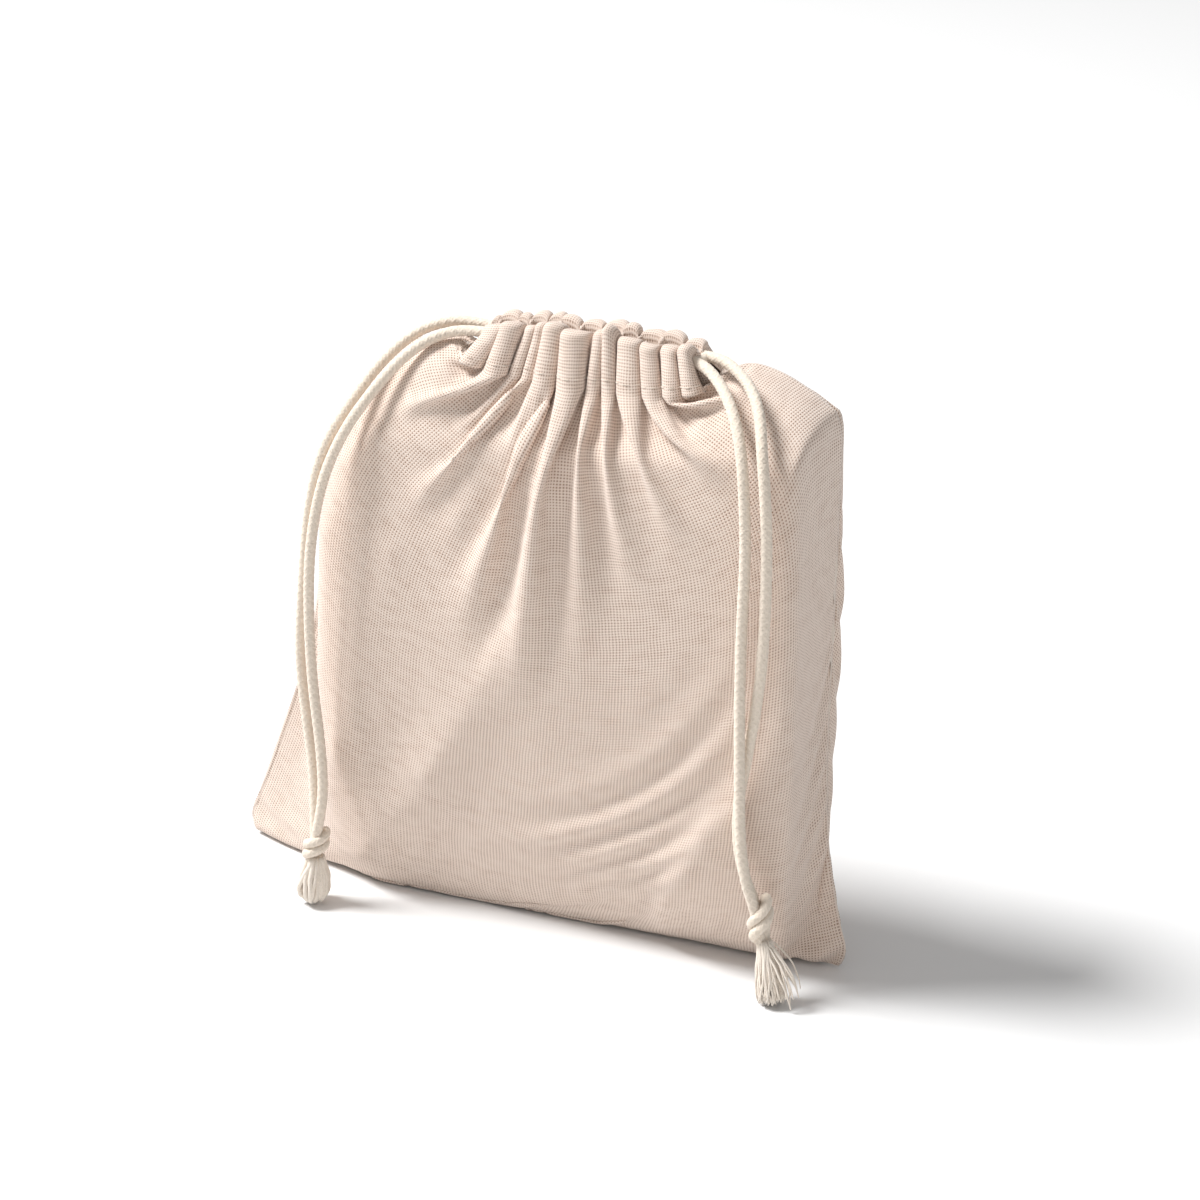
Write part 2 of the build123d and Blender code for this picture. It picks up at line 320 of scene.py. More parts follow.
def grid_object(name, points, uv=None, close_u=False, close_v=False, caps=False):
    """A mesh whose vertices are a grid of points, joined by one quad for each cell."""
    rows, cols = points.shape[:2]
    index = np.arange(rows * cols).reshape(rows, cols)
    if close_u:
        index = np.vstack([index, index[:1]])
    if close_v:
        index = np.hstack([index, index[:, :1]])
    quads = np.stack([index[:-1, :-1], index[1:, :-1], index[1:, 1:], index[:-1, 1:]], -1)
    faces = quads.reshape(-1, 4).tolist()
    if caps:
        faces += [index[0, :cols].tolist()[::1], index[-1, :cols].tolist()[::-1]]
    mesh = bpy.data.meshes.new(name)
    mesh.from_pydata(points.reshape(-1, 3).tolist(), [], faces)
    if uv is not None:
        layer = mesh.uv_layers.new(name="Cloth")
        corners = np.empty(len(mesh.loops), np.int32)
        mesh.loops.foreach_get("vertex_index", corners)
        layer.data.foreach_set("uv", uv.reshape(-1, 2)[corners].astype(np.float32).ravel())
    mesh.shade_smooth()
    piece = bpy.data.objects.new(name, mesh)
    bpy.context.scene.collection.objects.link(piece)
    return piece


def route_line(points_mm):
    """Points along the smooth NURBS line whose control points are the route's."""
    curve = bpy.data.curves.new("route", "CURVE")
    curve.dimensions = "3D"
    curve.resolution_u = 24
    spline = curve.splines.new("NURBS")
    spline.points.add(len(points_mm) - 1)
    for point, place in zip(spline.points, points_mm):
        point.co = (*[c * MM for c in place], 1.0)
    spline.order_u = 3
    spline.use_endpoint_u = True
    holder = bpy.data.objects.new("route", curve)
    bpy.context.scene.collection.objects.link(holder)
    mesh = bpy.data.meshes.new_from_object(holder)
    line = np.empty(len(mesh.vertices) * 3, np.float32)
    mesh.vertices.foreach_get("co", line)
    bpy.data.objects.remove(holder)
    bpy.data.meshes.remove(mesh)
    return line.reshape(-1, 3).astype(float)


def even(line, step):
    """The same line with its points a constant step apart."""
    gaps = np.linalg.norm(np.diff(line, axis=0), axis=1)
    along = np.concatenate([[0.0], np.cumsum(gaps)])
    count = max(4, int(round(along[-1] / step)) + 1)
    stations = np.linspace(0, along[-1], count)
    return np.stack([np.interp(stations, along, line[:, k]) for k in range(3)], 1), along[-1]


def frames(line, reference=(0.0, 1.0, 0.0)):
    """Tangent and two normals at each point, the first normal nearest to the reference."""
    tangent = np.gradient(line, axis=0)
    tangent /= length_of(tangent)
    side = np.array(reference) - tangent * (tangent @ np.array(reference))[:, None]
    side /= length_of(side)
    return tangent, side, np.cross(tangent, side)


# ---- the drape --------------------------------------------------------------
def pull(a, b, rest, stiffness):
    """Move linked points towards their rest distance; half of it each."""
    gap = b - a
    size = length_of(gap) + 1e-9
    move = gap * (0.5 * stiffness * (size - rest) / size)
    a += move
    b -= move


def spread(a, b, least, stiffness):
    """Keep points that are two apart from folding closer than a least distance."""
    gap = b - a
    size = length_of(gap) + 1e-9
    move = gap * (0.5 * stiffness * np.minimum(size - least, 0) / size)
    a += move
    b -= move


def pairs(count, step):
    """Starts and ends of the slices that link points a step apart, each point once a slice."""
    for start in range(2 * step):
        stop = start + (count - start) // (2 * step) * (2 * step)
        if step == 1 and stop - start >= 2:
            yield slice(start, stop, 2), slice(start + 1, stop, 2)
        if step == 2 and stop - start >= 4:
            yield slice(start, stop, 4), slice(start + 2, stop, 4)


def relax_links(net, rest_u, rest_v, bend):
    """One sweep over the weave: threads both ways, diagonals, and bending over two cells."""
    for a, b in pairs(net.shape[1], 1):
        pull(net[:, a], net[:, b], rest_u[:, a], 1.0)
    for a, b in pairs(net.shape[2], 1):
        pull(net[:, :, a], net[:, :, b], rest_v, 1.0)
    for a, b in pairs(net.shape[1], 1):
        skew = np.sqrt(rest_u[:, a, :-1] ** 2 + rest_v[:, a] ** 2)
        pull(net[:, a, :-1], net[:, b, 1:], skew, SHEAR)
        pull(net[:, a, 1:], net[:, b, :-1], skew, SHEAR)
    for a, b in pairs(net.shape[1], 2):
        spread(net[:, a], net[:, b], 1.98 * rest_u[:, a], bend)
    for a, b in pairs(net.shape[2], 2):
        spread(net[:, :, a], net[:, :, b], 1.98 * rest_v, bend)


def push_out(net, offset, skin_depth, last):
    """Move points by an offset where they are inside something, and hold back their sliding there."""
    touching = skin_depth[..., None] > 0
    net -= np.where(touching, GRIP * (net - last), 0.0)
    net += np.where(touching, offset, 0.0)


def half_depth(x, z):
    """Half depth of the contents: tucked in at the base, most of all near its ends."""
    foot = np.interp(x, BASE[:, 0], BASE[:, 1])
    return lerp(foot, FULL_DEPTH, np.clip(z / (30 * MM), 0, 1) ** 0.6)


def ridges(x, z):
    """How far the soft ridges stand out: a bell across each, over the distance to its middle line."""
    total = np.zeros_like(x)
    for x0, z0, x1, z1, breadth, tall in FOLDS:
        span = (x1 - x0) ** 2 + (z1 - z0) ** 2
        t = np.clip(((x - x0) * (x1 - x0) + (z - z0) * (z1 - z0)) / span, 0, 1)
        gap = (x - lerp(x0, x1, t)) ** 2 + (z - lerp(z0, z1, t)) ** 2
        total = np.maximum(total, tall * np.exp(-gap / (2 * (breadth * 0.6) ** 2)))
    return total


def block_push(net, last, skin):
    """Contents: a block with rounded edges, crisp on its right and soft on its left."""
    z = np.clip(net[..., 2], 0, CONTENTS_TOP)
    left, right = (np.interp(z, CONTENTS[:, 0], CONTENTS[:, k]) for k in (1, 2))
    half = half_depth(net[..., 0], z)
    half[0] += ridges(net[0, ..., 0], z[0])
    middle, wide = (left + right) / 2, (right - left) / 2
    offset_x = net[..., 0] - middle
    radius = np.minimum(np.interp(net[..., 0], EDGE_SOFTNESS[:, 0], EDGE_SOFTNESS[:, 1]), half * 0.9)
    reach = np.stack([
        np.abs(offset_x) - wide + radius,
        np.abs(net[..., 1]) - half + radius,
        net[..., 2] - CONTENTS_TOP + radius,
    ], -1)
    outer = np.maximum(reach, 0)
    distance = length_of(outer)[..., 0] + np.minimum(reach.max(-1), 0) - radius
    direction = outer.copy()
    flat = length_of(direction)[..., 0] < 1e-7
    direction[flat] = np.eye(3)[np.argmax(reach, -1)[flat]]
    direction /= length_of(direction) + 1e-9
    signs = np.stack([np.sign(offset_x), np.sign(net[..., 1]), np.ones_like(z)], -1)
    depth = np.maximum(skin - distance, 0)
    push_out(net, direction * signs * depth[..., None], depth, last)
    snug = half + lerp(1.2 * MM, SLACK, np.clip(net[..., 2] / SLACK_TOP, 0, 1) ** 1.5)
    net[..., 1] = np.clip(net[..., 1], -snug, snug)


def dome_push(net, last, skin):
    """Soft filling above the block: an arch across the bag whose crest follows the shoulders."""
    foot, crest, back = (np.interp(net[..., 0], CREST[:, 0], CREST[:, k]) for k in (1, 2, 3))
    away = net[..., 1] - back
    inward = np.clip((net[..., 0] - DOME_LEFT) / (24 * MM), 0, 1) ** 0.5
    half = (FULL_DEPTH - np.sign(away) * back) * inward + skin
    tall = crest + skin - foot
    away = away / half
    rise = (net[..., 2] - foot) / tall
    level = away ** 2 + np.maximum(rise, 0) ** 2
    inside = (rise > 0) & (level < 1) & (net[..., 0] > DOME_LEFT) & (net[..., 0] < DOME_RIGHT)
    slope = np.stack([np.zeros_like(away), 2 * away / half, 2 * rise / tall], -1)
    steep = (slope ** 2).sum(-1) + 1e-9
    depth = np.where(inside, 1 - level, 0.0)
    push_out(net, slope * (depth / steep)[..., None], depth, last)


def neck_pleats(face, columns):
    """Plan of a drawn-up casing: round lobes, each more than half a circle, side by side.

    x = middle + r sin a and depth = r (cos a - cos A) while a runs from -A to A, uneven in r and depth.
    """
    draw = np.random.default_rng(23 if face < 0 else 34)
    width = draw.uniform(0.5, 1.6, PLEATS)
    width *= (NECK_RIGHT - NECK_LEFT) / width.sum()
    deep = draw.uniform(0.75, 1.35, PLEATS)
    tall = draw.normal(0, 0.7, PLEATS) * MM
    lean = draw.normal(0, 1.3, PLEATS) * MM
    cloth = width * (0.6 + deep)
    edges_cloth = np.concatenate([[0], np.cumsum(cloth)]) / cloth.sum()
    edges_x = NECK_LEFT + np.concatenate([[0], np.cumsum(width)])
    share = np.linspace(0, 1, columns + 1)
    which = np.clip(np.searchsorted(edges_cloth, share, side="right") - 1, 0, PLEATS - 1)
    t = (share - edges_cloth[which]) / (edges_cloth[which + 1] - edges_cloth[which])
    widest, turn, radius = 2.1, (t - 0.5) / 0.45, width[which] / 2.08
    angle = np.clip(turn, -1, 1) * widest
    middle = edges_x[which] + width[which] / 2
    beyond = np.clip(np.abs(turn) - 1, 0, None) / (0.5 / 0.45 - 1)
    reach = lerp(radius * np.sin(np.abs(angle)), width[which] / 2, beyond)
    x = middle + np.sign(turn) * reach
    lobe = (np.cos(angle) - math.cos(widest)) / (1 - math.cos(widest))
    ends = ease(np.minimum(share, 1 - share) / 0.03)
    depth = radius * (1 - math.cos(widest)) * deep[which] * lobe
    return x, depth * ends, lobe, lean[which] * lobe * ends, tall[which]


def casing_rows(face, fine=1):
    """Held rows of the casing: up the outer layer, over the rounded top, down the inner layer."""
    x, lobe_depth, lobe, lean, tallness = neck_pleats(face, COLUMNS * fine)
    rows, outer_rows, fold_rows, inner_rows = (
        n * fine for n in (CASING_ROWS, OUTER_ROWS, FOLD_ROWS, INNER_ROWS)
    )
    centre, half_width = (NECK_LEFT + NECK_RIGHT) / 2, (NECK_RIGHT - NECK_LEFT) / 2
    off = (x - centre) / half_width
    low = CASING_LOW + 3.6 * MM * np.abs(off) ** 3
    crown = CASING_TOP + 1.3 * MM * (1 - off ** 2) - 0.8 * MM * np.abs(off) ** 3
    lift = 2.4 * MM * (lobe ** 0.6 - 0.7) + tallness * lobe
    out = np.zeros((COLUMNS * fine + 1, rows, 3))
    inner = 0.9 * MM + 0.35 * lobe_depth
    bend = 1.5 * MM
    for row in range(rows):
        if row < outer_rows:
            rise = (row + 1) / outer_rows
            slant = 3.4 * MM * (1 - rise) ** 1.5
            outer = VALLEY_Y + slant + lobe_depth * lerp(1.05, 0.8, rise)
            outer = outer + 0.6 * MM * math.sin(math.pi * rise)
            y, z = outer, lerp(low, crown - bend, rise)
        elif row < outer_rows + fold_rows:
            turn = math.pi * (row - outer_rows + 1) / (fold_rows + 1)
            y = (outer + inner) / 2 + (outer - inner) / 2 * math.cos(turn)
            z = crown - bend + bend * math.sin(turn)
            rise = 1.0
        else:
            fall = (row - outer_rows - fold_rows + 1) / inner_rows
            y, z = inner, lerp(crown - bend, low + 1 * MM, fall)
            rise = 1 - fall
        out[:, row, 0] = centre + (x - centre) * lerp(1.17, 1.0, rise) + lean * (rise - 0.3)
        out[:, row, 1] = face * y
        out[:, row, 2] = z + lift * rise ** 1.5
    return out


def smear(values, sigma):
    """Gaussian blur along the first axis, with its ends carried on."""
    reach = max(1, int(3 * sigma))
    weights = np.exp(-0.5 * (np.arange(-reach, reach + 1) / max(sigma, 1e-3)) ** 2)
    padded = np.concatenate([np.repeat(values[:1], reach), values, np.repeat(values[-1:], reach)])
    return np.convolve(padded, weights / weights.sum(), "valid")


def seam_line(points_mm, rows):
    """A side seam's held line, in equal steps, one for each row of the cloth."""
    line = route_line(points_mm)
    gaps = np.linalg.norm(np.diff(line, axis=0), axis=1)
    along = np.concatenate([[0.0], np.cumsum(gaps)])
    stations = np.linspace(0, along[-1], rows)
    return np.stack([np.interp(stations, along, line[:, k]) for k in range(3)], 1)


def take_up(columns):
    """How much each column's threads are drawn up: the middle of the bag is shorter than its seams."""
    edge = np.minimum(np.linspace(0, 1, columns), np.linspace(1, 0, columns))
    return lerp(1.02, MIDDLE_TAKE_UP, ease(edge / 0.22))[None, :, None, None]


def first_net():
    """Start of the drape: cloth laid up the contents from the bottom seam, then drawn in to the neck.

    The casing's lobes carry on below it, merging into fewer, deeper folds that die out on the body.
    """
    net = np.zeros((2, COLUMNS + 1, BODY_ROWS + 1 + CASING_ROWS, 3))
    share = np.linspace(0, 1, COLUMNS + 1)[:, None]
    edge = np.minimum(share, 1 - share)
    left_seam, right_seam = (seam_line(points, BODY_ROWS + 1) for points in (LEFT_SEAM, RIGHT_SEAM))
    flat_x = lerp(left_seam[None, :, 0], right_seam[None, :, 0], share)
    tuck = np.interp(flat_x[:, :1], BASE[:, 0], BASE[:, 1])
    up = np.arange(BODY_ROWS + 1)[None] * SPACING * MIDDLE_TAKE_UP
    z = np.maximum(up - tuck, 0.6 * MM)
    shoulder, top = 138 * MM, z.max()
    climb = np.clip((z - shoulder) / (top - shoulder), 0, 1)
    drawn = ease(climb)
    height = np.where(z > shoulder, shoulder + (CASING_LOW - 1 * MM - shoulder) * climb ** 0.7, z)
    weight = np.clip(edge * 9, 0, 1) ** 0.5
    seam = np.where(share[..., None] < 0.5, left_seam[None], right_seam[None])
    for face, sign in ((0, -1), (1, 1)):
        casing = casing_rows(sign)
        foot = casing[:, :1]
        under = np.clip(up / (8 * MM), 0, 1)
        laid = np.stack([
            lerp(flat_x, foot[..., 0], drawn),
            sign * lerp(half_depth(flat_x, z) * under, VALLEY_Y + 5 * MM, drawn),
            height + 0 * share,
        ], -1)
        laid = lerp(seam, laid, weight[..., None])
        fold = sign * foot[:, 0, 1] - VALLEY_Y
        fold = fold - fold.mean()
        for row in range(BODY_ROWS + 1):
            below = (BODY_ROWS - row) * SPACING
            gain = (1 + below / (9 * MM)) * (1 - ease(below / FOLD_REACH))
            if gain > 0:
                wave = smear(fold, 0.3 + below / (6 * MM))
                laid[:, row, 1] += sign * wave * gain * ease(edge[:, 0] / 0.1)
        net[face, :, :BODY_ROWS + 1] = laid
        net[face, :, BODY_ROWS + 1:] = casing
    return net


def rest_lengths(net, spacing):
    """Thread lengths across the cloth: as drawn up at the casing, and as woven below the gathers."""
    first = net.shape[2] - CASING_ROWS * round(SPACING / spacing)
    drawn = length_of(net[:, 1:, first:first + 1] - net[:, :-1, first:first + 1])
    below = (first - np.arange(net.shape[2]))[None, None, :, None] * spacing
    free = ease(below / GATHER_REACH)
    rest = lerp(drawn, spacing, free)
    return np.concatenate([rest, rest[:, -1:]], 1)


def hold(net, fixed_rows, casing, seam, sides):
    """Casing stays drawn up, seams stay sewn where their stiff allowances set them, the floor is firm."""
    net[:, :, fixed_rows:] = casing
    net[:, 0, :fixed_rows] = sides[0]
    net[:, -1, :fixed_rows] = sides[1]
    net[:, :, 0] = seam
    net[..., 2] = np.maximum(net[..., 2], FLOOR_CLEARANCE)


def settle(net, spacing, steps, bend, fall, keep):
    """Let the cloth fall and slide over the contents until it rests."""
    fixed_rows = net.shape[2] - CASING_ROWS * round(SPACING / spacing)
    casing = net[:, :, fixed_rows:].copy()
    sides = [seam_line(points, fixed_rows) for points in (LEFT_SEAM, RIGHT_SEAM)]
    seam = net[:, :, 0].mean(0)
    rest_u = rest_lengths(net, spacing)
    rest_v = spacing * take_up(net.shape[1])
    last = net.copy()
    for _ in range(steps):
        speed = (net - last) * keep
        last[...] = net
        net += speed
        net[..., 2] -= fall
        for _ in range(2):
            relax_links(net, rest_u, rest_v, bend)
            block_push(net, last, CLOTH)
            dome_push(net, last, CLOTH)
            hold(net, fixed_rows, casing, seam, sides)
    return net


def soften(net, rounds):
    """Even out wrinkles finer than the cloth would hold, away from the casing and the seams."""
    first = net.shape[2] - CASING_ROWS * 2
    below = (first - np.arange(net.shape[2])) * SPACING / 2
    share = np.linspace(0, 1, net.shape[1])
    inset = ease(np.minimum(share, 1 - share) / 0.03)
    weight = (0.5 * ease((below - 4 * MM) / (24 * MM))[None] * inset[:, None])[None, 1:-1, 1:-1, None]
    for _ in range(rounds):
        around = (net[:, 2:, 1:-1] + net[:, :-2, 1:-1] + net[:, 1:-1, 2:] + net[:, 1:-1, :-2]) / 4
        net[:, 1:-1, 1:-1] += (around - net[:, 1:-1, 1:-1]) * weight
    return net


def finer(net):
    """Twice as many points each way: (a + b) / 2 + (a + b - before - after) / 16 between each a and b."""
    for axis in (1, 2):
        moved = np.moveaxis(net, axis, 0)
        out = np.empty((moved.shape[0] * 2 - 1, *moved.shape[1:]))
        out[::2] = moved
        middle = (moved[:-1] + moved[1:]) / 2
        bow = np.zeros_like(middle)
        bow[1:-1] = (moved[1:-2] + moved[2:-1] - moved[:-3] - moved[3:]) / 16
        out[1::2] = middle + bow
        net = np.moveaxis(out, 0, axis).copy()
    return net


def drape():
    """Coarse drape, then the same cloth at half the spacing."""
    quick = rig.quick()
    net = first_net()
    net = settle(net, SPACING, 90 if quick else 320, 0.3, 0.012 * MM, 0.9)
    net = finer(net)
    for face, sign in ((0, -1), (1, 1)):
        net[face, :, -CASING_ROWS * 2:] = casing_rows(sign, 2)
    net = settle(net, SPACING / 2, 16 if quick else 110, 0.5, 0.004 * MM, 0.8)
    return soften(net, 10)


# ---- materials --------------------------------------------------------------
def cloth_material(name):
    """Plain weave on the cloth's own UV map, in metres: crossing ridges and small gaps; finish_cloth paints shade into
    the gaps and adds the slubs.
    """
    material = bpy.data.materials.new(name)
    material.use_nodes = True
    nodes, links = material.node_tree.nodes, material.node_tree.links
    shader = nodes["Principled BSDF"]
    shader.inputs["Roughness"].default_value = 0.92
    shader.inputs["Sheen Weight"].default_value = 0.25
    shader.inputs["Sheen Roughness"].default_value = 0.6

    def math_node(kind, a, b=None):
        """One Math node on sockets or numbers; gives back its output."""
        node = nodes.new("ShaderNodeMath")
        node.operation = kind
        for socket, value in zip(node.inputs, (a, b)):
            if value is None:
                continue
            if isinstance(value, (int, float)):
                socket.default_value = value
            else:
                links.new(value, socket)
        return node.outputs[0]

    uv = nodes.new("ShaderNodeUVMap")
    uv.uv_map = "Cloth"
    wander = nodes.new("ShaderNodeTexNoise")
    wander.inputs["Scale"].default_value = 120.0
    wander.inputs["Detail"].default_value = 2.0
    links.new(uv.outputs[0], wander.inputs["Vector"])
    shift = nodes.new("ShaderNodeVectorMath")
    shift.operation = "MULTIPLY_ADD"
    links.new(wander.outputs["Color"], shift.inputs[0])
    shift.inputs[1].default_value = (0.0009, 0.0009, 0)
    links.new(uv.outputs[0], shift.inputs[2])
    parts = nodes.new("ShaderNodeSeparateXYZ")
    links.new(shift.outputs[0], parts.inputs[0])
    across = math_node("SINE", math_node("MULTIPLY", parts.outputs[0], math.pi / WARP_PITCH))
    upward = math_node("SINE", math_node("MULTIPLY", parts.outputs[1], math.pi / WEFT_PITCH))
    warp = math_node("ABSOLUTE", across)
    weft = math_node("ABSOLUTE", upward)
    over = math_node("MULTIPLY_ADD", math_node("MULTIPLY", across, upward), 0.5)
    over.node.inputs[2].default_value = 0.5
    ridge = nodes.new("ShaderNodeMix")
    links.new(over, ridge.inputs["Factor"])
    links.new(weft, ridge.inputs["A"])
    links.new(warp, ridge.inputs["B"])
    # How much yarn covers each spot; finish_cloth turns its low values into painted shade at the gaps.
    cover_shade = math_node("MAXIMUM", warp, weft)
    return material, nodes, links, shader, math_node, uv, ridge.outputs["Result"], cover_shade


# base is painted shade for the dips beside the gaps and gap is painted shade for the shadowed inside seen through the
# open weave; light is the yarn's own colour.
def finish_cloth(name, base=(0.64, 0.48, 0.39), light=(0.79, 0.67, 0.585), gap=(0.22, 0.125, 0.075)):
    """Colour the weave: pale ridges in the yarn's own colour, painted shade in the warmer dips towards the gaps,
    painted shade in the gaps for the dark inside seen through them, with uneven yarns.
    """
    material, nodes, links, shader, math_node, uv, ridge, cover_shade = cloth_material(name)
    slub = nodes.new("ShaderNodeTexNoise")
    slub.inputs["Scale"].default_value = 260.0
    slub.inputs["Detail"].default_value = 3.0
    stretch = nodes.new("ShaderNodeMapping")
    stretch.inputs["Scale"].default_value = (0.7, 1.5, 1)
    links.new(uv.outputs[0], stretch.inputs[0])
    links.new(stretch.outputs[0], slub.inputs["Vector"])
    thick = math_node("MULTIPLY_ADD", slub.outputs["Fac"], 0.45)
    thick.node.inputs[2].default_value = -0.22
    body = math_node("ADD", cover_shade, thick)
    # Painted shade: where little yarn covers the cloth the ramp falls to the base colour and then to the gap colour;
    # the slub noise shifts it with the yarns' real thickness.
    ramp = nodes.new("ShaderNodeValToRGB")
    ramp.color_ramp.elements[0].position = 0.36
    ramp.color_ramp.elements[0].color = (*gap, 1)
    ramp.color_ramp.elements[1].position = 0.98
    ramp.color_ramp.elements[1].color = (*light, 1)
    middle = ramp.color_ramp.elements.new(0.62)
    middle.color = (*base, 1)
    links.new(body, ramp.inputs[0])
    links.new(ramp.outputs[0], shader.inputs["Base Color"])
    bump = nodes.new("ShaderNodeBump")
    bump.inputs["Strength"].default_value = 0.45
    bump.inputs["Distance"].default_value = 0.3 * MM
    height = math_node("ADD", ridge, thick)
    links.new(height, bump.inputs["Height"])
    links.new(bump.outputs[0], shader.inputs["Normal"])
    return material


def yarn_material(name, colour, scale):
    """Spun cotton: fine fibres along the cord, on object coordinates, soft sheen."""
    material = bpy.data.materials.new(name)
    material.use_nodes = True
    nodes, links = material.node_tree.nodes, material.node_tree.links
    shader = nodes["Principled BSDF"]
    shader.inputs["Roughness"].default_value = 0.9
    shader.inputs["Sheen Weight"].default_value = 0.35
    place = nodes.new("ShaderNodeTexCoord")
    fibre = nodes.new("ShaderNodeTexNoise")
    fibre.inputs["Scale"].default_value = scale
    fibre.inputs["Detail"].default_value = 4.0
    links.new(place.outputs["Object"], fibre.inputs["Vector"])
    ramp = nodes.new("ShaderNodeValToRGB")
    ramp.color_ramp.elements[0].position = 0.3
    ramp.color_ramp.elements[0].color = (*[c * 0.84 for c in colour], 1)
    ramp.color_ramp.elements[1].position = 0.7
    ramp.color_ramp.elements[1].color = (*colour, 1)
    links.new(fibre.outputs["Fac"], ramp.inputs[0])
    links.new(ramp.outputs[0], shader.inputs["Base Color"])
    bump = nodes.new("ShaderNodeBump")
    bump.inputs["Strength"].default_value = 0.4
    bump.inputs["Distance"].default_value = 0.2 * MM
    links.new(fibre.outputs["Fac"], bump.inputs["Height"])
    links.new(bump.outputs[0], shader.inputs["Normal"])
    return material


def coat(piece, material):
    """Give a piece its one finish."""
    piece.data.materials.clear()
    piece.data.materials.append(material)


CLOTH_FINISH = finish_cloth("open_cotton_weave")
CORD_FINISH = yarn_material("braided_cotton", (0.87, 0.76, 0.64), 2600.0)
YARN_FINISH = yarn_material("frayed_cotton", (0.88, 0.79, 0.69), 3200.0)
THREAD_FINISH = yarn_material("sewing_thread", (0.78, 0.68, 0.59), 4000.0)


# ---- cords ------------------------------------------------------------------
def braid_tube(name, line, radius, segments=28, step=0.22 * MM, up=(0.0, 1.0, 0.0)):
    """Round braid along a line: two families of yarns wind opposite ways and pass over each other.

    Radius = r (0.76 + 0.28 relief), where relief is |cos 4(angle + turn)| or |cos 4(angle - turn)| to
    the power 0.6, whichever family lies on top there.
    """
    line, total = even(line, step)
    _, side, other = frames(line, up)
    along = np.linspace(0, total, len(line))[:, None]
    angle = np.linspace(0, 2 * np.pi, segments, endpoint=False)[None]
    plait = 2 * np.pi / (5.2 * MM)
    right = np.cos(4 * (angle + plait * along * 0.5))
    left = np.cos(4 * (angle - plait * along * 0.5))
    over = 0.5 + 0.5 * np.tanh(3 * np.sin(4 * angle) * np.sin(4 * plait * along * 0.5))
    relief = over * np.abs(right) ** 0.6 + (1 - over) * np.abs(left) ** 0.6
    size = radius * (0.76 + 0.28 * relief)
    points = line[:, None] + size[..., None] * (
        np.cos(angle)[..., None] * side[:, None] + np.sin(angle)[..., None] * other[:, None]
    )
    piece = grid_object(name, points[:, ::-1], close_v=True, caps=True)
    coat(piece, CORD_FINISH)
    return piece, line, total


def tube_bundle(name, paths, radii, segments, material):
    """Many thin round strands as one mesh, closed at both ends.

    Each point = path + radius (cos a * side + sin a * other), square to the path.
    """
    count, rings = paths.shape[:2]
    tangent = np.gradient(paths, axis=1)
    tangent /= length_of(tangent) + 1e-12
    guide = np.array([0.31, 0.87, 0.38])
    side = guide - tangent * (tangent @ guide)[..., None]
    side /= length_of(side)
    other = np.cross(tangent, side)
    angle = np.linspace(0, 2 * np.pi, segments, endpoint=False)
    points = paths[:, :, None] + radii[:, :, None, None] * (
        np.cos(angle)[:, None] * side[:, :, None] + np.sin(angle)[:, None] * other[:, :, None]
    )
    base = np.arange(count)[:, None, None] * rings * segments
    ring = base + np.arange(rings)[None, :, None] * segments
    here = ring[:, :-1] + np.arange(segments)[None, None]
    after = ring[:, :-1] + (np.arange(segments) + 1)[None, None] % segments
    quads = np.stack([here, after, after + segments, here + segments], -1).reshape(-1, 4).tolist()
    first = (ring[:, 0] + np.arange(segments)[None, ::-1]).tolist()
    final = (ring[:, -1] + np.arange(segments)[None]).tolist()
    mesh = bpy.data.meshes.new(name)
    mesh.from_pydata(points.reshape(-1, 3).tolist(), [], quads + first + final)
    mesh.shade_smooth()
    piece = bpy.data.objects.new(name, mesh)
    bpy.context.scene.collection.objects.link(piece)
    coat(piece, material)
    return piece


def build_knot(side, centre, down, slope):
    """Overhand knot in the doubled cord: two strands wrap it side by side on a slant, then leave below.

    Each route turns about the cord: centre + radius (cos a * across + sin a * front) + along * down.
    """
    down = np.array(down) / np.linalg.norm(down)
    across = np.cross(down, (0.0, 1.0, 0.0))
    across /= np.linalg.norm(across)
    front = np.cross(across, down)
    apart = math.hypot(1.0, slope / 2.4) * 1.36
    pieces = []
    for strand, drop in ((0, -apart), (1, apart)):
        turns = [(60, 0.9, -2.0), (80, 1.6, 0.4)]
        turns += [(110 + 50 * k, 2.75, slope * (3 - k)) for k in range(7)]
        turns += [(440, 1.9, -slope), (470, 1.1, 1.6), (470, 1.0, 4.6), (470, 1.0, 6.6)]
        route = []
        for count, (angle, radius, along) in enumerate(turns):
            wrap = drop if 1 < count < 9 else 0.0
            phase = math.radians(angle + (110 * strand if count > 9 else 0))
            spot = (
                np.array(centre) / MM
                + across * radius * math.cos(phase) + front * radius * math.sin(phase)
                + down * (along + wrap)
            )
            route.append(tuple(spot))
        line = route_line(route)
        name = f"{side}_knot_strand_{strand + 1}"
        piece, _, _ = braid_tube(name, line, CORD * 0.49, segments=28, up=tuple(front + 0.31 * across))
        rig.replaces(piece, f"{side}_knot")
        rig.slot(piece, "cotton_cord")
        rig.ride(piece, f"{side}_tails")
        pieces.append(piece)
    return pieces


